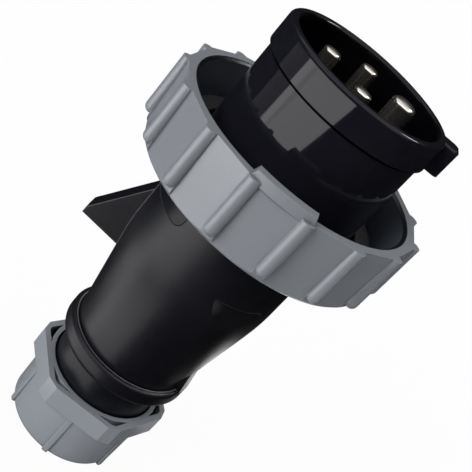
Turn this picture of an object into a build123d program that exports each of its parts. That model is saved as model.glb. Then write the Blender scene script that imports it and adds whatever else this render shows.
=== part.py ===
from build123d import *
import os
from math import asin, cos, degrees, radians, sin

# Industrial plug with four pins and a watertight bayonet ring, for a flexible cable.
# It stands on the end face of its gland nut: the origin is the centre of that face,
# +Z runs along the plug's axis to the pins, +X points to the earth pin and -X to the fin.
# Lengths are millimetres and angles are degrees.

# Lengths along the axis, from the nut's end face up
nut_height = 22.4
nut_flange_height = 6.4
neck_show = 9.2
collar_height = 6.4
taper_length = 32.3
grip_length = 28.7
flange_thickness = 4.0
ring_reach = 17.0            # from the flange's rear face to the ring's front plane
ring_depth = 20.6
shroud_reach = 25.05         # from the ring's front plane to the shroud's rim
shroud_band_length = 8.2     # wide front band of the shroud
shroud_ramp_length = 0.3     # steep step between that band and the narrow part behind it
socket_depth = 37.0          # from the rim down to the carrier's face

collar_low = nut_height + neck_show
collar_high = collar_low + collar_height
grip_low = collar_high + taper_length
grip_high = grip_low + grip_length
ring_front = grip_high + ring_reach
ring_rear = ring_front - ring_depth
shroud_top = ring_front + shroud_reach
socket_floor = shroud_top - socket_depth
flange_top = grip_high + flange_thickness

# Clearances
static_gap = 0.05            # between pieces that stay still on each other
free_gap = 0.3               # between pieces that move past each other
ring_gap = 0.5               # between the bayonet ring's hole and the handle
mouth_gap = 0.55             # between the nut's mouth and the neck

# Shroud and contacts
shroud_r = 25.0
shroud_rear_r = 24.0
shroud_wall = 3.0
shroud_rim_edge = 1.1
shroud_foot_edge = 1.5
socket_draft = 0.4           # socket's wall is this much thicker at its floor
key_width = 6.0
key_height = 4.0
key_length = 8.4
key_round = 2.0              # its two outer edges along the axis
key_edge = 0.5
pin_circle_r = 10.86
earth_pin_r = 3.5
phase_pin_r = 2.5
earth_pin_lead = 0.9         # how far the earth pin stands above the rim
phase_pin_drop = 0.9         # how far the phase pins end below the rim

# Carrier, terminals and spigot
spigot_wall = 2.25
spigot_length = 23.0         # behind the flange
lip_height = 3.2             # inner lip at the socket's floor that the carrier meets
lip_width = 1.9
pin_neck = 0.3               # the pin is this much thinner inside the carrier
barrel_r = 4.4
barrel_length = 42.0
barrel_tail = 10.0           # part of the barrel behind the carrier
barrel_front = 3.0           # where the barrel starts, below the socket's floor
pin_crown = 2.6              # tip's crown radius, as a share of the pin's radius
pin_round = 0.35             # and the round at the crown's edge
wire_bore_r = 2.6
wire_bore_depth = 13.0
screw_r = 2.0
screw_head_r = 3.2
screw_head_height = 2.2
screw_slot = 0.8
screw_slot_depth = 0.8
screw_show = 0.6             # shank between the barrel and the head
screw_rise = 5.0             # screw axis above the barrel's rear end
plate_thickness = 0.8
plate_length = 6.0
plate_width = 2.4

# Handle
handle_r = 23.25
handle_wall = 2.2
taper_low_r = 18.6
taper_blend = 70.0
shoulder_r = 26.0
shoulder_height = 2.0
collar_r = 20.75
collar_edge = 1.2
collar_foot_edge = 2.8
collar_groove = 0.45         # width of the groove between the taper and the collar's lip
collar_groove_depth = 0.6
collar_lip_edge = 0.12
pad_half_angle = 24.0        # sloped pad on the collar, opposite the fin
pad_top = 45.2
neck_r = 16.7
neck_thread_r = 16.0
neck_bore_r = 13.2
neck_end = 9.0
neck_step_drop = 3.6         # neck's thread starts this far below the nut's front
fin_thickness = 7.0
fin_reach = 34.5
fin_high = 11.0              # fin's top where it leaves the grip, above grip_low
fin_tip_drop = 16.9          # from there down to the fin's tip
fin_tip_flat = 2.1
fin_tip_edge = 0.3
fin_foot_drop = 20.3
fin_sink = 1.2               # how far the fin reaches into the handle's wall
scoop_angle = 55.5           # grip flats, each side of +X
scoop_top = 7.4              # above grip_low
scoop_depth = 1.4
scoop_slope = 8.2

# Locking tongue of the contact housing in the handle's window
tongue_half_angle = 57.4
tongue_length = 14.3
tongue_corner = 3.0
window_gap = 0.2

# Bayonet ring and its lining
ring_r = 37.75
ring_taper = 1.0             # ring's rear end is this much smaller than its front
ring_wall = 3.25
ring_rear_edge = 1.5
ring_rear_wall = 3.0
bead_count = 15
bead_rise = 1.25             # bead's crest above the ring
bead_r = 1.9
bead_tail = 4.2              # bead's round end in front of the ring's rear face
bead_turn = -6.6             # angle of the first bead
panel_deep = 0.75            # panel below the ring's outline just after a bead
panel_shallow = 0.2          # and just before the next one
panel_margin = 2.9           # angle from a bead's centre to the panel
lug_angle = -90.5
lug_top_half_angle = 13.0
lug_foot_half_angle = 14.0
lug_height = 2.0
liner_wall = 0.9
liner_recess = 0.1
liner_edge = 0.6
ramp_count = 2
ramp_turn = 33.0
ramp_sweep = 62.0
ramp_reach = 2.3
ramp_top = 6.7               # below the ring's front plane
ramp_height = 2.5
stop_sweep = 4.0
stop_top = 4.5
stop_height = 8.0
ramp_root = 0.4              # ramps and stops reach this far into the lining's wall
face_seal_gap = 0.25         # between the face seal and the ramps
face_seal_height = 2.5
face_seal_edge = 0.6
o_ring_r = 0.95
o_ring_squeeze = 0.35
o_ring_groove = 2.6          # width of its groove
o_ring_drop = 19.0           # below the flange's rear face

# Gland
nut_flat_r = 19.95
nut_cut_r = 21.85             # small flats that cut the hexagon's corners
nut_wall = 1.9
nut_corner_wall = 1.4
nut_cap_r = 18.8
nut_cap_end_r = 18.4
nut_cap_edge = 1.5
nut_end_wall = 2.6
nut_mouth_depth = 4.9
nut_chamber_r = 15.7
nut_sleeve_wall = 1.35
pocket_depth = 4.6
rib_count = 6
rib_width = 1.9
rib_rise = 0.4               # above the cap's wider end
rib_start = 0.6              # above the nut's end face
rib_edge = 0.45
rib_root = 3.4
cable_hole_r = 11.5
thrust_inner_r = 11.8
thrust_outer_r = 14.9
thrust_height = 1.8
basket_inner_r = 12.0
basket_outer_r = 15.2
basket_foot_r = 14.3
basket_foot_wall = 1.3
basket_flange = 1.5
finger_count = 12
finger_slot = 1.0
gland_seal_bore_r = 8.0
gland_seal_length = 12.0

spigot_r = handle_r - handle_wall - static_gap
carrier_r = spigot_r - spigot_wall - static_gap
carrier_length = barrel_length - barrel_tail
ring_hole_r = handle_r + ring_gap
ring_inner_r = ring_r - ring_wall
ring_rear_r = ring_r - ring_taper
liner_outer_r = ring_inner_r - static_gap
liner_inner_r = liner_outer_r - liner_wall
ramp_inner_r = liner_inner_r - ramp_reach
flange_r = liner_inner_r - free_gap
face_seal_r = ramp_inner_r - face_seal_gap
nut_mouth_r = neck_r + mouth_gap
nut_sleeve_r = nut_mouth_r + nut_sleeve_wall
nut_bore_r = neck_thread_r + free_gap


def turned(*points, rounds=()):
    """A solid of revolution about Z from a closed outline of (radius, height) points.

    rounds holds (point, radius) pairs: that corner of the outline gets that radius.
    """
    outline = make_face(Polyline(*points, close=True))
    for corner, radius in rounds:
        outline = fillet(outline.vertices().sort_by_distance((*corner, 0))[0], radius)
    return revolve(Plane.XZ * outline, Axis.Z)


def tube(outer, inner, low, high):
    return turned((inner, low), (outer, low), (outer, high), (inner, high))


def rod(radius, low, high):
    return Pos(0, 0, low) * Cylinder(radius, high - low, align=(Align.CENTER, Align.CENTER, Align.MIN))


def at_angle(radius, angle):
    return radius * cos(radians(angle)), radius * sin(radians(angle))


def wedge(middle, half, reach, low, high):
    """A prism on the sector of half-angle half, under 80, about the angle middle."""
    corners = [(0, 0), at_angle(reach, middle - half),
               at_angle(reach / cos(radians(half)), middle), at_angle(reach, middle + half)]
    return Pos(0, 0, low) * extrude(make_face(Polyline(*corners, close=True)), high - low)


def spread(shape, count, first=0.0):
    """Copies of a shape round Z, at equal angles."""
    return [Rot(0, 0, first + i * 360 / count) * shape for i in range(count)]


def pin_angles():
    return {"earth_pin": 0, "phase_pin_1": 90, "phase_pin_2": 180, "phase_pin_3": 270}


def taper_r(height):
    """Handle's outer radius at a height on its taper."""
    share = (height - collar_high) / taper_length
    return taper_low_r + (handle_r - taper_low_r) * share


def tongue_region(grow):
    """Prism that the locking tongue fills, made larger all round by grow."""
    half = tongue_half_angle + degrees(grow / handle_r)
    low = grip_high - tongue_length - grow
    region = wedge(180, half, 2 * handle_r, low, grip_high)
    corners = region.edges().group_by(Axis.Z)[0].sort_by_distance((0, 0, low))[:2]
    return fillet(corners, tongue_corner + grow)


def make_contact_housing():
    spigot_low = grip_high - spigot_length
    inner = shroud_r - shroud_wall
    bore = carrier_r + static_gap
    band_low = shroud_top - shroud_band_length
    body = turned(
        (bore, spigot_low), (spigot_r, spigot_low), (spigot_r, grip_high), (flange_r, grip_high),
        (flange_r, flange_top), (shroud_rear_r, flange_top),
        (shroud_rear_r, band_low - shroud_ramp_length), (shroud_r, band_low), (shroud_r, shroud_top),
        (inner, shroud_top), (inner - socket_draft, socket_floor), (bore - lip_width, socket_floor),
        (bore - lip_width, socket_floor - lip_height), (bore, socket_floor - lip_height),
        rounds=[((inner, shroud_top), shroud_rim_edge), ((shroud_r, shroud_top), shroud_rim_edge),
                ((shroud_rear_r, flange_top), shroud_foot_edge)])
    groove_middle = grip_high - o_ring_drop
    groove = tube(2 * spigot_r, spigot_r - 2 * o_ring_r + o_ring_squeeze,
                  groove_middle - o_ring_groove / 2, groove_middle + o_ring_groove / 2)
    outer = handle_r - static_gap
    shoulder_high = ring_rear - free_gap
    root = spigot_r - spigot_wall / 3
    skin = turned(
        (root, grip_high - tongue_length), (outer, grip_high - tongue_length),
        (outer, shoulder_high - shoulder_height), (shoulder_r, shoulder_high - shoulder_height),
        (shoulder_r, shoulder_high), (outer, shoulder_high), (outer, grip_high), (root, grip_high))
    tongue = skin & tongue_region(0)
    key_low = shroud_top - key_length
    key_root = shroud_r - shroud_wall / 2
    key = Box(shroud_r + key_height - key_root, key_width, key_length,
              align=(Align.MIN, Align.CENTER, Align.MIN))
    key = Pos(key_root, 0, key_low) * key
    key = fillet(key.edges().filter_by(Axis.Z).group_by(Axis.X)[-1], key_round)
    key = chamfer(key.faces().sort_by(Axis.X)[-1].edges().group_by(Axis.Z)[-1], key_edge)
    return body - groove + tongue + key


def make_pin_carrier():
    boss_r = carrier_r - lip_width
    step = socket_floor - lip_height
    block = rod(carrier_r, socket_floor - carrier_length, step) + rod(boss_r, step, socket_floor)
    for name, angle in pin_angles().items():
        x, y = at_angle(pin_circle_r, angle)
        hole = earth_pin_r if name == "earth_pin" else phase_pin_r
        hole += static_gap - pin_neck
        block -= Pos(x, y, 0) * rod(hole, socket_floor - carrier_length, socket_floor)
        block -= Pos(x, y, 0) * rod(barrel_r + static_gap, socket_floor - carrier_length,
                                    socket_floor - barrel_front)
    return block


def make_pin(radius, top):
    """Contact pin on the Z axis, with its terminal barrel; its screw points to +X."""
    low = socket_floor - barrel_length
    crown_r = radius * pin_crown
    crown = CenterArc((0, top - crown_r), crown_r, 90, -degrees(asin(1 / pin_crown)))
    outline = make_face(crown + Polyline(crown @ 1, (radius, socket_floor), (0, socket_floor), crown @ 0))
    edge = outline.vertices().sort_by_distance(crown @ 1)[0]
    shank = revolve(Plane.XZ * fillet(edge, radius * pin_round), Axis.Z)
    shank += rod(radius - pin_neck, socket_floor - 2 * barrel_front, socket_floor)
    barrel = rod(barrel_r, low, socket_floor - barrel_front)
    barrel -= rod(wire_bore_r, low, low + wire_bore_depth)
    screw_hole = Pos(0, 0, low + screw_rise) * Rot(0, 90, 0) * rod(screw_r + static_gap, 0, 2 * barrel_r)
    return shank + barrel - screw_hole


def pin_pose(angle):
    x, y = at_angle(pin_circle_r, angle)
    return Pos(x, y, 0) * Rot(0, 0, angle)


def make_terminal_screw():
    """Screw along +X whose point is on the pressure plate."""
    point = wire_bore_r - plate_thickness
    head = barrel_r + screw_show
    screw = rod(screw_r, point, head) + rod(screw_head_r, head, head + screw_head_height)
    slot = Pos(0, 0, head + screw_head_height) * Box(screw_slot, 3 * screw_head_r, 2 * screw_slot_depth)
    return Rot(0, 90, 0) * (screw - slot)


def make_terminal_plate():
    """Pressure plate in the wire bore, under the screw's point."""
    high = wire_bore_r - plate_thickness
    plate = Box(plate_length, plate_width, plate_thickness, align=(Align.CENTER, Align.CENTER, Align.MAX))
    return Rot(0, 90, 0) * Pos(0, 0, high) * plate


def make_marker_lug():
    """Low block on the ring's front face, with sloped ends, that shows the ring's position."""
    foot = at_angle(ring_r, lug_foot_half_angle)[1]
    top = at_angle(ring_r, lug_top_half_angle)[1]
    low = ring_front - lug_height / 2
    high = ring_front + lug_height
    side = Polyline((-foot, low), (foot, low), (foot, ring_front), (top, high), (-top, high),
                    (-foot, ring_front), close=True)
    lug = tube(ring_r - panel_shallow, ring_inner_r, low, high)
    lug = lug & extrude(make_face(Plane.XZ * side), -2 * ring_r)
    return Rot(0, 0, lug_angle - 90) * lug


def make_bayonet_ring():
    step = 360 / bead_count
    outline = []
    for i in range(bead_count):
        bead = bead_turn + i * step
        outline += [at_angle(ring_r, bead - panel_margin), at_angle(ring_r, bead + panel_margin),
                    at_angle(ring_r - panel_deep, bead + panel_margin),
                    at_angle(ring_r - panel_shallow, bead + step - panel_margin)]
    front = make_face(Polyline(*outline, close=True))
    rear = scale(front, by=ring_rear_r / ring_r)
    body = loft([Pos(0, 0, ring_rear) * rear, Pos(0, 0, ring_front) * front], ruled=True)
    foot = (ring_rear_r - ring_rear_edge, ring_rear)
    side = (ring_rear_r, ring_rear + ring_rear_edge)
    body = body & turned((0, ring_rear), foot, side, (ring_r, ring_front), (0, ring_front),
                         rounds=[(foot, ring_rear_edge), (side, ring_rear_edge)])
    bead_low = ring_rear + bead_tail
    bead = rod(bead_r, bead_low, ring_front) + Pos(0, 0, bead_low) * Sphere(bead_r)
    body = body + spread(Pos(ring_r + bead_rise - bead_r, 0, 0) * bead, bead_count, bead_turn)
    body += make_marker_lug()
    body -= rod(ring_inner_r, ring_rear + ring_rear_wall, ring_front + 2 * lug_height)
    return body - rod(ring_hole_r, ring_rear, ring_front)


def make_bayonet_liner():
    root = liner_inner_r + ramp_root
    low = ring_rear + ring_rear_wall + static_gap
    high = ring_front - liner_recess
    shell = turned((liner_inner_r, low), (liner_outer_r, low), (liner_outer_r, high),
                   (liner_inner_r + liner_edge, high), (liner_inner_r, high - liner_edge))
    ramp_low = ring_front - ramp_top - ramp_height
    ramp = tube(root, ramp_inner_r, ramp_low, ring_front - ramp_top)
    ramp = ramp & wedge(ramp_turn + ramp_sweep / 2, ramp_sweep / 2, 2 * ring_r, 0, 2 * ring_front)
    stop_low = ring_front - stop_top - stop_height
    stop = tube(root, ramp_inner_r, stop_low, ring_front - stop_top)
    stop = stop & wedge(ramp_turn, stop_sweep / 2, 2 * ring_r, 0, 2 * ring_front)
    return shell + spread(ramp + stop, ramp_count)


def make_handle_shell():
    """Turned body of the handle, from the ring's shoulder to the threaded neck."""
    shoulder_high = ring_rear - free_gap
    shoulder_low = shoulder_high - shoulder_height
    groove_low = collar_high - collar_groove_depth
    lip_r = taper_low_r + collar_groove
    neck_step = nut_height - neck_step_drop
    lip, knee = (lip_r, collar_high), (handle_r, grip_low)
    top, foot = (collar_r, collar_high), (collar_r, collar_low)
    return turned(
        (handle_r, grip_high), (handle_r, shoulder_high), (shoulder_r, shoulder_high),
        (shoulder_r, shoulder_low), (handle_r, shoulder_low), knee, (taper_low_r, collar_high),
        (taper_low_r, groove_low), (lip_r, groove_low), lip, top, foot, (neck_r, collar_low),
        (neck_r, neck_step), (neck_thread_r, neck_step), (neck_thread_r, neck_end),
        (neck_bore_r, neck_end), (neck_bore_r, collar_low),
        (taper_low_r - handle_wall, collar_high + handle_wall),
        (handle_r - handle_wall, grip_low), (handle_r - handle_wall, grip_high),
        rounds=[(knee, taper_blend), (top, collar_edge), (foot, collar_foot_edge), (lip, collar_lip_edge)])


def make_fin():
    """Finger fin at -X: a flat plate with a sharp tip and a raked top."""
    root = grip_low + fin_high
    tip = root - fin_tip_drop
    foot = root - fin_foot_drop
    outline = Polyline((-handle_r + fin_sink, root), (-handle_r, root), (-fin_reach + fin_tip_edge, tip),
                       (-fin_reach, tip - fin_tip_flat), (-taper_r(foot), foot),
                       (-taper_r(foot) + fin_sink, foot), close=True)
    return extrude(make_face(Plane.XZ * outline), fin_thickness / 2, both=True)


def make_scoop(angle):
    """Flat that cuts a shallow finger grip with a sharp front edge into the handle."""
    high = grip_low + scoop_top
    cutter = Box(handle_r, 2 * handle_r, taper_length, align=(Align.MIN, Align.CENTER, Align.MAX))
    placed = Pos(handle_r - scoop_depth, 0, 0) * Rot(0, -scoop_slope, 0) * cutter
    return Rot(0, 0, angle) * Pos(0, 0, high) * (placed - rod(3 * handle_r, 0, taper_length))


def make_pad():
    """Pad at +X that slopes from the collar up to the taper."""
    low = collar_low + collar_height / 2
    root = taper_low_r - handle_wall / 2
    pad = turned((root, low), (collar_r, low), (collar_r, collar_high), (taper_r(pad_top), pad_top),
                 (root, pad_top))
    return pad & wedge(0, pad_half_angle, 2 * handle_r, low, pad_top)


def make_handle():
    body = make_handle_shell() + make_fin() + make_pad()
    body -= [make_scoop(scoop_angle), make_scoop(-scoop_angle)]
    window = tube(2 * handle_r, (handle_r - handle_wall) / 2, grip_low, 2 * grip_high)
    return body - (window & tongue_region(window_gap))


def hexagon(flat_r, cut_r, low, high):
    """Hexagonal prism with flats facing +Y and -Y, and small flats at cut_r for its corners."""
    outline = (RegularPolygon(flat_r, 6, major_radius=False)
               & RegularPolygon(cut_r, 6, major_radius=False, rotation=30))
    return Pos(0, 0, low) * extrude(outline, high - low)


def make_gland_nut():
    flange_low = nut_height - nut_flange_height
    body = turned((0, 0), (nut_cap_end_r, 0), (nut_cap_r, flange_low), (nut_cap_r, nut_height),
                  (0, nut_height), rounds=[((nut_cap_end_r, 0), nut_cap_edge)])
    body += hexagon(nut_flat_r, nut_cut_r, flange_low, nut_height)
    rib = Box(rib_root, rib_width, flange_low, align=(Align.MAX, Align.CENTER, Align.MIN))
    rib = fillet(rib.edges().filter_by(Axis.Z).group_by(Axis.X)[-1], rib_edge)
    body += spread(Pos(nut_cap_r + rib_rise, 0, rib_start) * rib, rib_count, 30)
    pocket = hexagon(nut_flat_r - nut_wall, nut_cut_r - nut_corner_wall,
                     nut_height - pocket_depth, nut_height)
    body -= pocket - rod(nut_sleeve_r, 0, nut_height)
    body -= rod(nut_mouth_r, nut_height - nut_mouth_depth, nut_height)
    body -= rod(nut_bore_r, neck_end - free_gap, nut_height)
    body -= rod(nut_chamber_r, nut_end_wall, nut_height)
    body -= rod(cable_hole_r, 0, nut_height)
    return body


def make_thrust_ring():
    low = nut_end_wall + static_gap
    return tube(thrust_outer_r, thrust_inner_r, low, low + thrust_height)


def make_gland_basket():
    low = nut_end_wall + thrust_height + static_gap + free_gap
    root = neck_end - basket_flange
    ring = turned((basket_inner_r, root), (basket_foot_r - basket_foot_wall, low), (basket_foot_r, low),
                  (basket_outer_r, root), (basket_outer_r, neck_end), (basket_inner_r, neck_end))
    slot = Box(basket_outer_r, finger_slot, root, align=(Align.MIN, Align.CENTER, Align.MIN))
    return ring - spread(slot, finger_count)


def make_gland_seal():
    outer = neck_bore_r - static_gap
    return tube(outer, gland_seal_bore_r, neck_end, neck_end + gland_seal_length)


def make_face_seal():
    inner = shroud_rear_r + shroud_foot_edge
    high = flange_top + face_seal_height
    return turned((inner, flange_top), (face_seal_r, flange_top), (face_seal_r, high), (inner, high),
                  rounds=[((face_seal_r, high), face_seal_edge), ((inner, high), face_seal_edge)])


def make_housing_seal():
    middle = spigot_r - o_ring_r + o_ring_squeeze
    return Pos(0, 0, grip_high - o_ring_drop) * Torus(middle, o_ring_r - o_ring_squeeze)


def make_parts():
    parts = {
        "contact_housing": make_contact_housing(),
        "pin_carrier": make_pin_carrier(),
        "bayonet_ring": make_bayonet_ring(),
        "bayonet_liner": make_bayonet_liner(),
        "face_seal": make_face_seal(),
        "handle_housing": make_handle(),
        "housing_seal": make_housing_seal(),
        "gland_nut": make_gland_nut(),
        "thrust_ring": make_thrust_ring(),
        "gland_basket": make_gland_basket(),
        "gland_seal": make_gland_seal(),
    }
    for name, angle in pin_angles().items():
        if name == "earth_pin":
            pin = make_pin(earth_pin_r, shroud_top + earth_pin_lead)
        else:
            pin = make_pin(phase_pin_r, shroud_top - phase_pin_drop)
        parts[name] = pin_pose(angle) * pin
    screw_height = socket_floor - barrel_length + screw_rise
    screws = [pin_pose(a) * Pos(0, 0, screw_height) * make_terminal_screw() for a in pin_angles().values()]
    plates = [pin_pose(a) * Pos(0, 0, screw_height) * make_terminal_plate() for a in pin_angles().values()]
    parts["terminal_screws"] = Compound(children=screws)
    parts["terminal_plates"] = Compound(children=plates)
    return parts


os.makedirs("parts", exist_ok=True)
for node, shape in make_parts().items():
    export_step(shape, f"parts/{node}.step")
    print(node, round(shape.volume, 1))
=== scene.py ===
import math

import bpy
import numpy as np
from mathutils import Matrix, Vector


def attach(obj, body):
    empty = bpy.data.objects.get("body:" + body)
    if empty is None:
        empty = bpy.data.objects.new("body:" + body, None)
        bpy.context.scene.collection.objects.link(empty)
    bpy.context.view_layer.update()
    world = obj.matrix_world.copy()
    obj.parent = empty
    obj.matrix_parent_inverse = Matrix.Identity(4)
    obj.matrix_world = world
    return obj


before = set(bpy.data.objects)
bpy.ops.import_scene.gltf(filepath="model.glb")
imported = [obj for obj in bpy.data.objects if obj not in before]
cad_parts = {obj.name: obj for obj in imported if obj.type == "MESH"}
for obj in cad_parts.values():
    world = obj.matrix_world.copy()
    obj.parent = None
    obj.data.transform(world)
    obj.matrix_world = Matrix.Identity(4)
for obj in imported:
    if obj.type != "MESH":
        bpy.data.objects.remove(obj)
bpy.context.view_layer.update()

# Industrial plug standing on its gland nut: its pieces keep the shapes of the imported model,
# and this script gives them their finishes, the thread on the neck, the studio and the camera.
# The finishes, the thread and the camera's place are given in millimetres, the studio in metres,
# the scales of noise per metre, and all angles in degrees.
mm = 0.001


# Shader maths: a wire is one output socket, and an expression on wires adds its Math nodes

class Wire:
    def __init__(self, tree, socket):
        self.tree = tree
        self.socket = socket

    def maths(self, operation, first, second):
        node = self.tree.nodes.new("ShaderNodeMath")
        node.operation = operation
        for socket, value in zip(node.inputs, (first, second)):
            plug(self.tree, value, socket)
        return Wire(self.tree, node.outputs[0])

    def __add__(self, other):
        return self.maths("ADD", self, other)

    def __radd__(self, other):
        return self.maths("ADD", other, self)

    def __sub__(self, other):
        return self.maths("SUBTRACT", self, other)

    def __rsub__(self, other):
        return self.maths("SUBTRACT", other, self)

    def __mul__(self, other):
        return self.maths("MULTIPLY", self, other)

    def __pow__(self, other):
        return self.maths("POWER", self, other)

    def __abs__(self):
        return self.maths("ABSOLUTE", self, 0.0)

    def orMore(self, other):
        # the larger of the two
        return self.maths("MAXIMUM", self, other)


def plug(tree, value, socket):
    # a wire is linked, and any other value is set on the socket
    if isinstance(value, Wire):
        tree.links.new(value.socket, socket)
    else:
        socket.default_value = value


class Shading:
    # a material's or world's node tree, emptied and built again
    def __init__(self, owner):
        owner.use_nodes = True
        self.tree = owner.node_tree
        self.tree.nodes.clear()

    def node(self, kind, settings=None, sockets=None, out=0):
        made = self.tree.nodes.new("ShaderNode" + kind)
        for name, value in (settings or {}).items():
            setattr(made, name, value)
        for name, value in (sockets or {}).items():
            plug(self.tree, value, made.inputs[name])
        return Wire(self.tree, made.outputs[out]) if made.outputs else None

    def place(self):
        # place on the object, in its own metres
        return self.node("TexCoord", out="Object")

    def along(self, letter):
        # place along one axis of the object
        return self.node("SeparateXYZ", {}, {"Vector": self.place()}, out=letter)

    def fromAxis(self):
        # distance from the object's upright axis
        east, north = self.along("X"), self.along("Y")
        return (east * east + north * north) ** 0.5

    def normal(self):
        return self.node("NewGeometry", out="Normal")

    def facing(self, letter):
        # how far the surface faces along an axis, from -1 to 1
        return self.node("SeparateXYZ", {}, {"Vector": self.normal()}, out=letter)

    def ramp(self, value, low, high):
        # 0 below low, 1 above high, and a smooth climb between
        sockets = {"Value": value, "From Min": low, "From Max": high}
        return self.node("MapRange", {"interpolation_type": "SMOOTHSTEP"}, sockets)

    def above(self, value, edge, margin):
        # 0 up to the edge and 1 from a margin past it, both in millimetres
        return self.ramp(value, edge * mm, (edge + margin) * mm)

    def below(self, value, edge, margin):
        # 1 up to the edge and 0 from a margin past it, both in millimetres
        return 1 - self.above(value, edge, margin)

    def blend(self, factor, first, second):
        # colours mixed by factor: 0 gives the first and 1 the second
        return self.node("Mix", {"data_type": "RGBA"}, {0: factor, 6: first, 7: second}, out=2)

    def noise(self, place, scale, detail=2.0, rough=0.5):
        sockets = {"Vector": place, "Scale": scale, "Detail": detail, "Roughness": rough}
        return self.node("TexNoise", {}, sockets)


def grey(level):
    return (level, level, level, 1)


# Finishes: each has its own look, and a mix holds what all of one kind share

noiseMiddle = 0.5
edgeLook = {"samples": 6, "turnLow": 0.01, "turnHigh": 0.22}

plasticMix = {
    "grainDetail": 3.0, "grainRough": 0.6, "cloudDetail": 4.0, "cloudRough": 0.55,
    "speckScale": 0.4, "speckDetail": 1.0, "cloudShare": 0.75, "paleLow": 0.38, "paleHigh": 0.64,
    "edgeShare": 0.55, "grainRoughShare": 0.6, "bumpStrength": 0.6, "bumpGrain": 0.7,
}

plasticLooks = {
    "greyRing": {
        "colour": (0.218, 0.233, 0.256, 1), "pale": (0.224, 0.239, 0.262, 1), "rough": 0.29,
        "roughSpread": 0.03, "specular": 0.50, "grain": 1400.0, "grainDepth": 0.002,
        "edge": 0.18, "paintedEdgeTone": (0.36, 0.38, 0.41, 1), "cloud": 40.0, "corners": 0.75},
    # painted light: the ring's grey about a sixth lighter, so the nut shows more light than falls on it
    "greyNutPaintedLighter": {
        "colour": (0.272, 0.293, 0.321, 1), "pale": (0.279, 0.300, 0.328, 1), "rough": 0.30,
        "roughSpread": 0.03, "specular": 0.50, "grain": 1400.0, "grainDepth": 0.002,
        "edge": 0.18, "paintedEdgeTone": (0.41, 0.43, 0.46, 1), "cloud": 40.0, "corners": 0.75},
    "satinBlack": {
        "colour": (0.0042, 0.0044, 0.0084, 1), "pale": (0.0062, 0.0064, 0.0100, 1), "rough": 0.40,
        "roughSpread": 0.12, "specular": 0.38, "grain": 1500.0, "grainDepth": 0.034,
        "edge": 0.34, "paintedEdgeTone": (0.150, 0.150, 0.154, 1), "cloud": 45.0,
        # painted highlight on the scoop's sloping flat
        "scoopHighlight": {"place": (6.6, -22.3, 75.4), "radius": 3.8, "colour": (0.050, 0.049, 0.047, 1),
                "share": 0.8, "grain": 600.0, "grainDetail": 3.0, "ragged": 0.5,
                "facingLow": 0.06, "facingHigh": 0.10},
        # painted highlight lines on the collar's lip and the fin's edges
        "lineHighlight": (0.22, 0.22, 0.225, 1),
        "lip": {"inner": 19.0, "outer": 19.4, "low": 37.7, "high": 38.2, "margin": 0.1},
        "fin": {"side": 3.5, "half": 0.28, "low": 61.5, "high": 88.0, "reach": 17.5,
                "margin": 0.5, "facingLow": -0.98, "facingHigh": -0.94}},
    "glossBlack": {
        "colour": (0.0070, 0.0072, 0.0108, 1), "pale": (0.0088, 0.0090, 0.0130, 1), "rough": 0.055,
        "roughSpread": 0.035, "specular": 0.20, "grain": 900.0, "grainDepth": 0.0012,
        "edge": 0.14, "paintedEdgeTone": (0.018, 0.018, 0.020, 1), "cloud": 50.0,
        "matt": {"top": 96.5, "margin": 0.5, "rough": 0.28},
        "crease": {"height": 132.22, "half": 0.36, "grey": 0.0008},
        "inside": {"radius": 22.6, "radiusMargin": 0.3, "low": 104.0, "lowMargin": 0.5, "share": 0.22}},
    # painted light: the black lining is given a blue-grey well above black so its walls in the deep bore show
    # light
    "liningBlack": {
        "colour": (0.105, 0.120, 0.155, 1), "pale": (0.115, 0.132, 0.170, 1), "rough": 0.30,
        "roughSpread": 0.10, "specular": 0.45, "grain": 1800.0, "grainDepth": 0.010,
        "edge": 0.16, "paintedEdgeTone": (0.010, 0.011, 0.014, 1), "cloud": 70.0,
        "paintedTopShade": {"share": 0.06, "facingLow": 0.2, "facingHigh": 0.5}},
    "carrierBlack": {
        "colour": (0.0050, 0.0051, 0.0056, 1), "pale": (0.0075, 0.0076, 0.0082, 1), "rough": 0.34,
        "roughSpread": 0.10, "specular": 0.45, "grain": 1500.0, "grainDepth": 0.010,
        "edge": 0.12, "paintedEdgeTone": (0.02, 0.02, 0.02, 1), "cloud": 70.0},
    "sealRubber": {
        "colour": (0.0100, 0.0100, 0.0104, 1), "pale": (0.0160, 0.0160, 0.0165, 1), "rough": 0.62,
        "roughSpread": 0.12, "specular": 0.35, "grain": 3000.0, "grainDepth": 0.020,
        "edge": 0.15, "paintedEdgeTone": (0.025, 0.025, 0.025, 1), "cloud": 90.0},
    "basketNylon": {
        "colour": (0.58, 0.57, 0.53, 1), "pale": (0.66, 0.65, 0.60, 1), "rough": 0.48,
        "roughSpread": 0.10, "specular": 0.40, "grain": 1600.0, "grainDepth": 0.010,
        "edge": 0.12, "paintedEdgeTone": (0.75, 0.74, 0.70, 1), "cloud": 80.0},
}


def roundedNormal(shading, radius):
    # normal of the surface as if its edges had this radius, in millimetres
    return shading.node("Bevel", {"samples": edgeLook["samples"]}, {"Radius": radius * mm})


def edgeMask(shading, rounded):
    # 0 on open surface, up to 1 where the rounded normal turns away from the flat one
    sockets = {0: rounded, 1: shading.normal()}
    turn = shading.node("VectorMath", {"operation": "DOT_PRODUCT"}, sockets, out="Value")
    return shading.ramp(1 - turn, edgeLook["turnLow"], edgeLook["turnHigh"])


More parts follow.
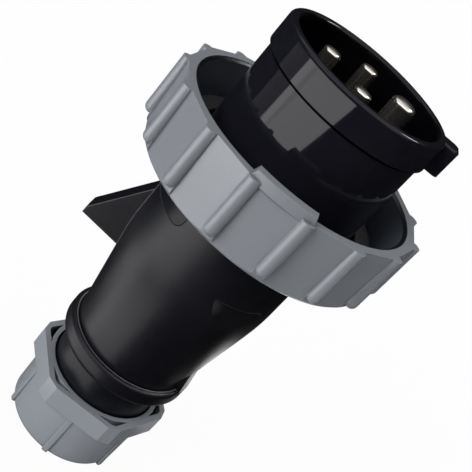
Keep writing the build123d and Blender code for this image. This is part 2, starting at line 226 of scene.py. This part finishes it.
def paintScoopHighlight(shading, colour, scoopHighlight):
    # painted highlight on the scoop's sloping flat, where its tip catches the light: 0 beyond its radius,
    # with a ragged margin
    sockets = {0: shading.place(), 1: Vector(scoopHighlight["place"]) * mm}
    away = shading.node("VectorMath", {"operation": "DISTANCE"}, sockets, out="Value")
    grain = shading.noise(shading.place(), scoopHighlight["grain"], scoopHighlight["grainDetail"])
    ragged = away + (grain - noiseMiddle) * (scoopHighlight["radius"] * scoopHighlight["ragged"] * mm)
    patch = (1 - shading.ramp(ragged, 0.0, scoopHighlight["radius"] * mm)) * \
        shading.ramp(shading.facing("Z"), scoopHighlight["facingLow"], scoopHighlight["facingHigh"])
    return shading.blend(patch * scoopHighlight["share"], colour, scoopHighlight["colour"])


def paintBoreShade(shading, colour, inside):
    # painted shade in the shroud's bore, where little light comes back out
    mask = shading.below(shading.fromAxis(), inside["radius"], inside["radiusMargin"]) * \
        shading.above(shading.along("Z"), inside["low"], inside["lowMargin"])
    return shading.blend(mask * (1 - inside["share"]), colour, grey(0.0))


cornerShade = {"samples": 8, "reach": 2.0, "openLow": 0.15, "openHigh": 0.95, "grey": 0.01}


def paintCornerShade(shading, colour, share):
    # painted shade in the inner corners: the more of the sky within reach is hidden, the darker
    opened = shading.node("AmbientOcclusion", {"samples": cornerShade["samples"]},
                          {"Distance": cornerShade["reach"] * mm}, out="AO")
    hidden = 1 - shading.ramp(opened, cornerShade["openLow"], cornerShade["openHigh"])
    return shading.blend(hidden * share, colour, grey(cornerShade["grey"]))


def paintedHighlightLines(shading, lip, fin):
    # painted highlight: 1 on the collar's lip and along the long edges of the fin's near side, painted pale
    radius, up = shading.fromAxis(), shading.along("Z")
    onLip = shading.above(radius, lip["inner"], lip["margin"]) * \
        shading.below(radius, lip["outer"], lip["margin"]) * \
        shading.above(up, lip["low"], lip["margin"]) * shading.below(up, lip["high"], lip["margin"])
    away = abs(shading.along("Y") + fin["side"] * mm)
    onFin = shading.below(away, fin["half"] / 2, fin["half"] / 2) * \
        shading.ramp(shading.facing("Y"), fin["facingLow"], fin["facingHigh"]) * \
        shading.above(up, fin["low"], fin["margin"]) * shading.below(up, fin["high"], fin["margin"]) * \
        shading.below(shading.along("X"), -fin["reach"], fin["margin"])
    return onLip.orMore(onFin)


def paintedTopShade(shading, colour, top):
    # painted shade: faces that look up are darker than the walls
    upward = shading.ramp(shading.facing("Z"), top["facingLow"], top["facingHigh"])
    return shading.blend(upward * (1 - top["share"]), colour, grey(0.0))


def paintCreaseShadow(shading, surface, crease):
    # painted shadow in the foot of the step, as a dark line: 1 on its middle line and 0 a half width away
    away = abs(shading.along("Z") - crease["height"] * mm)
    shade = shading.node("BsdfDiffuse", {}, {"Color": grey(crease["grey"])})
    mask = shading.below(away, crease["half"] / 2, crease["half"] / 2)
    return shading.node("MixShader", {}, {0: mask, 1: surface, 2: shade})


def mouldedPlastic(name, look, mix):
    # fine spark-eroded grain, clouds of slightly paler resin, and rounded edges with a painted highlight, or
    # on the lining painted shade
    material = bpy.data.materials.new(name)
    shading = Shading(material)
    place = shading.place()
    grain = shading.noise(place, look["grain"], mix["grainDetail"], mix["grainRough"])
    cloud = shading.noise(place, look["cloud"], mix["cloudDetail"], mix["cloudRough"])
    speck = shading.noise(place, look["grain"] * mix["speckScale"], mix["speckDetail"])
    rounded = roundedNormal(shading, look["edge"])
    patches = cloud * mix["cloudShare"] + speck * (1 - mix["cloudShare"])
    paler = shading.ramp(patches, mix["paleLow"], mix["paleHigh"])
    colour = shading.blend(paler, look["colour"], look["pale"])
    # painted highlight along the rounded edges: paler on most finishes, darker as painted shade on the lining
    colour = shading.blend(edgeMask(shading, rounded) * mix["edgeShare"], colour, look["paintedEdgeTone"])
    rough = look["rough"] + (cloud - noiseMiddle) * look["roughSpread"] + \
        (grain - noiseMiddle) * (look["roughSpread"] * mix["grainRoughShare"])

    # painted highlight on the scoop's tip
    if "scoopHighlight" in look:
        colour = paintScoopHighlight(shading, colour, look["scoopHighlight"])
    # painted shade in the shroud's bore
    if "inside" in look:
        colour = paintBoreShade(shading, colour, look["inside"])
    # painted shade in the inner corners
    if "corners" in look:
        colour = paintCornerShade(shading, colour, look["corners"])
    # painted highlight lines on the collar's lip and the fin's edges
    if "lineHighlight" in look:
        colour = shading.blend(paintedHighlightLines(shading, look["lip"], look["fin"]), colour, look["lineHighlight"])
    # painted shade on the lining's upward faces
    if "paintedTopShade" in look:
        colour = paintedTopShade(shading, colour, look["paintedTopShade"])
    if "matt" in look:
        # the surface is duller below the flange, where only the locking tongue shows
        matt = look["matt"]
        tongue = shading.below(shading.along("Z"), matt["top"], matt["margin"])
        rough = rough + tongue * (matt["rough"] - look["rough"])

    height = grain * mix["bumpGrain"] + speck * (1 - mix["bumpGrain"])
    bumped = shading.node("Bump", {}, {
        "Strength": mix["bumpStrength"], "Distance": look["grainDepth"] * mm, "Height": height,
        "Normal": rounded})
    surface = shading.node("BsdfPrincipled", {}, {
        "Base Color": colour, "Roughness": rough, "Specular IOR Level": look["specular"], "Normal": bumped})
    # painted shadow line at the foot of the shroud's step
    if "crease" in look:
        surface = paintCreaseShadow(shading, surface, look["crease"])
    shading.node("OutputMaterial", {}, {"Surface": surface})
    return material


metalMix = {"ringDetail": 2.0, "cloud": 150.0, "dullLow": 0.42, "dullHigh": 0.72,
            "ringRoughShare": 0.5, "bumpStrength": 0.5}

metalLooks = {
    "platedPin": {
        "colour": (0.80, 0.77, 0.72, 1), "dull": (0.66, 0.62, 0.55, 1), "metal": 0.97, "rough": 0.16,
        "roughSpread": 0.08, "lathe": 5200.0, "latheDepth": 0.003, "edge": 0.12},
    "zincSteel": {
        "colour": (0.60, 0.61, 0.63, 1), "dull": (0.46, 0.47, 0.48, 1), "metal": 1.0, "rough": 0.30,
        "roughSpread": 0.15, "lathe": 2600.0, "latheDepth": 0.030, "edge": 0.10},
}


def turnedMetal(name, look, mix):
    # plated metal with the fine rings that a lathe leaves round its axis, dulled in clouds
    material = bpy.data.materials.new(name)
    shading = Shading(material)
    rings = shading.node("TexNoise", {"noise_dimensions": "1D"}, {
        "W": shading.along("Z") * look["lathe"], "Scale": 1.0, "Detail": mix["ringDetail"]})
    cloud = shading.noise(shading.place(), mix["cloud"])
    colour = shading.blend(shading.ramp(cloud, mix["dullLow"], mix["dullHigh"]), look["colour"], look["dull"])
    rough = look["rough"] + (cloud - noiseMiddle) * look["roughSpread"] + \
        (rings - noiseMiddle) * (look["roughSpread"] * mix["ringRoughShare"])
    bumped = shading.node("Bump", {}, {
        "Strength": mix["bumpStrength"], "Distance": look["latheDepth"] * mm, "Height": rings,
        "Normal": roundedNormal(shading, look["edge"])})
    surface = shading.node("BsdfPrincipled", {}, {
        "Base Color": colour, "Metallic": look["metal"], "Roughness": rough, "Normal": bumped})
    shading.node("OutputMaterial", {}, {"Surface": surface})
    return material


finishes = {name: mouldedPlastic(name, look, plasticMix) for name, look in plasticLooks.items()}
finishes.update({name: turnedMetal(name, look, metalMix) for name, look in metalLooks.items()})

finishedNodes = {
    "glossBlack": ["contact_housing"],
    "carrierBlack": ["pin_carrier"],
    "satinBlack": ["handle_housing"],
    "greyRing": ["bayonet_ring"],
    "liningBlack": ["bayonet_liner"],
    "greyNutPaintedLighter": ["gland_nut"],
    "sealRubber": ["face_seal", "housing_seal", "gland_seal"],
    "basketNylon": ["gland_basket", "thrust_ring"],
    "zincSteel": ["terminal_screws", "terminal_plates"],
    "platedPin": ["earth_pin", "phase_pin_1", "phase_pin_2", "phase_pin_3"],
}

for finishName, nodeNames in finishedNodes.items():
    for nodeName in nodeNames:
        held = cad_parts[nodeName]
        held.data.materials.clear()
        held.data.materials.append(finishes[finishName])
print("finishes given to", sum(len(nodeNames) for nodeNames in finishedNodes.values()), "nodes")


# Fine thread on the neck, almost all of it behind the gland nut's mouth

neckThread = {"rootRadius": 15.9, "crestRadius": 16.2, "pitch": 2.0, "low": 9.6, "high": 18.4,
              "crestShare": 0.25, "turnSteps": 96, "profileSteps": 9}


def addToScene(name, data):
    made = bpy.data.objects.new(name, data)
    bpy.context.scene.collection.objects.link(made)
    return made


def gridMesh(name, points):
    # points is rows x columns x 3, and each cell of the grid is one smooth quad
    rows, columns = points.shape[:2]
    index = np.arange(rows * columns).reshape(rows, columns)
    quads = np.stack([index[:-1, :-1], index[:-1, 1:], index[1:, 1:], index[1:, :-1]], axis=-1)
    mesh = bpy.data.meshes.new(name)
    mesh.from_pydata(points.reshape(-1, 3).tolist(), [], quads.reshape(-1, 4).tolist())
    mesh.polygons.foreach_set("use_smooth", np.ones(len(mesh.polygons), bool))
    return addToScene(name, mesh)


def makeNeckThread(size):
    # radius at (turn t, share s of the pitch): root + height * flank(s), where the flank climbs
    # straight to a flat crest and back; height along Z is low + pitch * (t / full turn + s), and the
    # ridge fades to nothing over the first and last half turn
    turns = (size["high"] - size["low"]) / size["pitch"] - 1
    angle = np.linspace(0, turns * 2 * np.pi, int(turns * size["turnSteps"]))[:, None]
    share = np.linspace(0, 1, size["profileSteps"])[None, :]
    flank = np.clip((0.5 - np.abs(share - 0.5)) / (0.5 - size["crestShare"] / 2), 0, 1)
    fade = np.clip(np.minimum(angle, angle[-1] - angle) / np.pi, 0, 1)
    radius = size["rootRadius"] + (size["crestRadius"] - size["rootRadius"]) * flank * fade
    height = size["low"] + size["pitch"] * (angle / (2 * np.pi) + share)
    points = np.stack([radius * np.cos(angle), radius * np.sin(angle), height + 0 * radius], axis=-1)
    made = gridMesh("neckThread", points * mm)
    made.data.materials.append(finishes["satinBlack"])
    return made


thread = makeNeckThread(neckThread)
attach(thread, "plug_body")
print("neck thread:", len(thread.data.polygons), "faces")


# Studio: a pale floor, a white surround and soft suns light the plug. Reflections see another
# room instead: a dark flag just over the floor, a dark tent with a pale top, and bright cards.

studio = {"floorColour": 0.80, "floorSize": 8.0, "floorGlow": 0.96, "dome": 0.28}


def flatShape(name, corners):
    mesh = bpy.data.meshes.new(name)
    mesh.from_pydata(corners, [], [list(range(len(corners)))])
    made = addToScene(name, mesh)
    return made


def cameraSees(shading):
    # 1 for rays from the camera, in mirrors and through glass, 0 for light that bounces
    camera, glossy, clear = [shading.node("LightPath", out=path) for path in (
        "Is Camera Ray", "Is Glossy Ray", "Is Transmission Ray")]
    return camera.orMore(glossy).orMore(clear)


def makeFloor(size):
    half = size["floorSize"] / 2
    floor = flatShape("floor", [(-half, -half, 0), (half, -half, 0), (half, half, 0), (-half, half, 0)])
    material = bpy.data.materials.new("floorPaint")
    shading = Shading(material)
    paint = shading.node("BsdfDiffuse", {}, {"Color": grey(size["floorColour"])})
    glow = shading.node("Emission", {}, {"Color": grey(1.0), "Strength": 1.0})
    sockets = {0: cameraSees(shading) * size["floorGlow"], 1: paint, 2: glow}
    shading.node("OutputMaterial", {}, {"Surface": shading.node("MixShader", {}, sockets)})
    floor.data.materials.append(material)


def makeWorld(size):
    world = bpy.data.worlds.new("surround")
    bpy.context.scene.world = world
    shading = Shading(world)
    seen = cameraSees(shading)
    level = seen + (1 - seen) * size["dome"]
    surround = shading.node("Background", {}, {"Color": grey(1.0), "Strength": level})
    shading.node("OutputWorld", {}, {"Surface": surround})


def fromDirection(azimuth, elevation):
    # unit vector towards a place in the sky
    around, climb = math.radians(azimuth), math.radians(elevation)
    return Vector((math.cos(climb) * math.cos(around), math.cos(climb) * math.sin(around), math.sin(climb)))


suns = {
    "keyLamp": {"energy": 2.2, "angle": 36.0, "from": (-135.0, 26.0)},
    "topLamp": {"energy": 1.15, "angle": 60.0, "from": (60.0, 78.0)},
}


def makeSun(name, look):
    lamp = bpy.data.lights.new(name, "SUN")
    lamp.energy = look["energy"]
    lamp.angle = math.radians(look["angle"])
    made = addToScene(name, lamp)
    made.rotation_mode = "QUATERNION"
    made.rotation_quaternion = fromDirection(*look["from"]).to_track_quat("Z", "Y")
    made.visible_glossy = False


makeFloor(studio)
makeWorld(studio)
for sunName, sunLook in suns.items():
    makeSun(sunName, sunLook)
print("floor, surround and suns made")


def onlyInReflections(card, material):
    card.data.materials.append(material)
    card.visible_camera = False
    card.visible_diffuse = False
    card.visible_shadow = False
    card.visible_transmission = False


def glowing(name, strength):
    material = bpy.data.materials.new(name)
    shading = Shading(material)
    glow = shading.node("Emission", {}, {"Color": grey(1.0), "Strength": strength})
    shading.node("OutputMaterial", {}, {"Surface": glow})
    return material


def ringSector(radii, near, far, height, steps=24):
    # outline of a flat sector of a ring: round its far edge, then back round its near edge
    outline = []
    for radius, (start, end) in ((radii[1], far), (radii[0], reversed(near))):
        for angle in np.radians(np.linspace(start, end, steps)):
            outline.append((radius * math.cos(angle), radius * math.sin(angle), height))
    return outline


# the tent's wall turns pale between two sines of the elevation
darkRoom = {"radius": 2.5, "hole": 0.0005, "low": 0.0004, "flagSteps": 64, "glow": 0.012, "topGlow": 0.36,
            "topLow": 0.48, "topHigh": 0.72, "tentTurnSteps": 65, "tentClimbSteps": 17}


def makeFlag(size):
    allRound = (-180, 180)
    outline = ringSector((size["hole"], size["radius"]), allRound, allRound, size["low"], size["flagSteps"])
    onlyInReflections(flatShape("flag", outline), glowing("flagBlack", size["glow"]))


def tentGlow(size):
    # dark at the sides and paler overhead
    material = bpy.data.materials.new("tentGlow")
    shading = Shading(material)
    climb = shading.ramp(shading.along("Z"), size["radius"] * size["topLow"],
                         size["radius"] * size["topHigh"])
    shade = shading.blend(climb, grey(size["glow"]), grey(size["topGlow"]))
    shading.node("OutputMaterial", {}, {"Surface": shading.node("Emission", {}, {"Color": shade})})
    return material


def makeTent(size):
    # half sphere over the floor: at turn t and climb c the point is
    # (radius * cos(c) * cos(t), radius * cos(c) * sin(t), low + radius * sin(c))
    turn = np.linspace(0, 2 * np.pi, size["tentTurnSteps"])[None, :]
    climb = np.linspace(0, np.pi / 2, size["tentClimbSteps"])[:, None]
    directions = np.stack([np.cos(climb) * np.cos(turn), np.cos(climb) * np.sin(turn),
                           np.sin(climb) + 0 * turn], axis=-1)
    tent = gridMesh("tent", size["radius"] * directions + np.array([0, 0, size["low"]]))
    onlyInReflections(tent, tentGlow(size))


makeFlag(darkRoom)
makeTent(darkRoom)

# sectors of rings that lie flat over the flag; near and far are the azimuths of the inner and outer edge
cardHeight = 0.0008
cards = {
    "keyEdgeCard": {"radii": (0.235, 0.57), "near": (-166.0, -158.0), "far": (-160.0, -149.5),
                    "strength": 5.5},
    "keyStripeCard": {"radii": (0.235, 0.57), "near": (-158.0, -154.0), "far": (-149.5, -143.0),
                      "strength": 4.3},
    "keyCard": {"radii": (0.235, 0.57), "near": (-154.0, -132.0), "far": (-143.0, -85.5), "strength": 5.1},
    "sideCard": {"radii": (0.30, 0.57), "near": (-188.0, -160.5), "strength": 0.56},
    "gripCard": {"radii": (0.13, 0.215), "near": (-171.0, -108.0), "strength": 2.5},
    "taperCard": {"radii": (0.075, 0.13), "near": (-192.0, -152.0), "strength": 1.8},
    "neckCard": {"radii": (0.045, 0.075), "near": (-174.0, -100.0), "strength": 2.4},
    "rimCard": {"radii": (0.072, 0.095), "near": (26.0, 58.0), "strength": 3.3},
    "nutCard": {"radii": (0.035, 0.058), "near": (8.0, 42.0), "strength": 0.45},
}

# level rectangles overhead
stripHeight = 1.1
stripCards = {
    "topCard": {"west": -1.9, "east": 1.5, "south": -1.10, "north": -0.05, "strength": 1.6},
    "backCard": {"west": -1.2, "east": 1.0, "south": 0.22, "north": 0.75, "strength": 1.1},
}

# a disc in the sky, for the highlights on the pins' domes
spotCard = {"from": (27.0, 52.0), "distance": 1.0, "radius": 0.12, "steps": 24, "strength": 14.0}


def cardOutline(card):
    return ringSector(card["radii"], card["near"], card.get("far", card["near"]), cardHeight)


def stripOutline(card):
    corners = (("west", "south"), ("east", "south"), ("east", "north"), ("west", "north"))
    return [(card[x], card[y], stripHeight) for x, y in corners]


def spotOutline(card):
    # a disc square to the line that joins it to the plug
    way = fromDirection(*card["from"])
    turn = way.to_track_quat("Z", "Y")
    angles = np.linspace(0, 2 * np.pi, card["steps"], endpoint=False)
    return [way * card["distance"] + turn @ (Vector((math.cos(a), math.sin(a), 0)) * card["radius"])
            for a in angles]


def makeCard(name, outline, strength):
    onlyInReflections(flatShape(name, outline), glowing(name + "Glow", strength))


for cardName, card in cards.items():
    makeCard(cardName, cardOutline(card), card["strength"])
for cardName, card in stripCards.items():
    makeCard(cardName, stripOutline(card), card["strength"])
makeCard("spotCard", spotOutline(spotCard), spotCard["strength"])
print("room for reflections made, with", len(cards) + len(stripCards) + 1, "cards")


# Camera, at the photograph's viewing angle

cameraLook = {"place": (-26.954, -229.334, 196.232), "heading": 7.152, "dip": 25.864, "roll": 42.253,
              "lens": 72.592, "sensor": 36.0, "clip": (0.01, 20.0)}


def makeCamera(look):
    data = bpy.data.cameras.new("camera")
    data.lens = look["lens"]
    data.sensor_width = look["sensor"]
    data.clip_start, data.clip_end = look["clip"]
    camera = addToScene("camera", data)
    turn = Matrix.Rotation(-math.radians(look["heading"]), 4, "Z")
    tilt = Matrix.Rotation(math.radians(90 - look["dip"]), 4, "X")
    roll = Matrix.Rotation(math.radians(look["roll"]), 4, "Z")
    camera.matrix_world = Matrix.Translation(Vector(look["place"]) * mm) @ turn @ tilt @ roll
    bpy.context.scene.camera = camera


makeCamera(cameraLook)
bpy.context.scene.view_settings.view_transform = "Standard"
print("camera made")
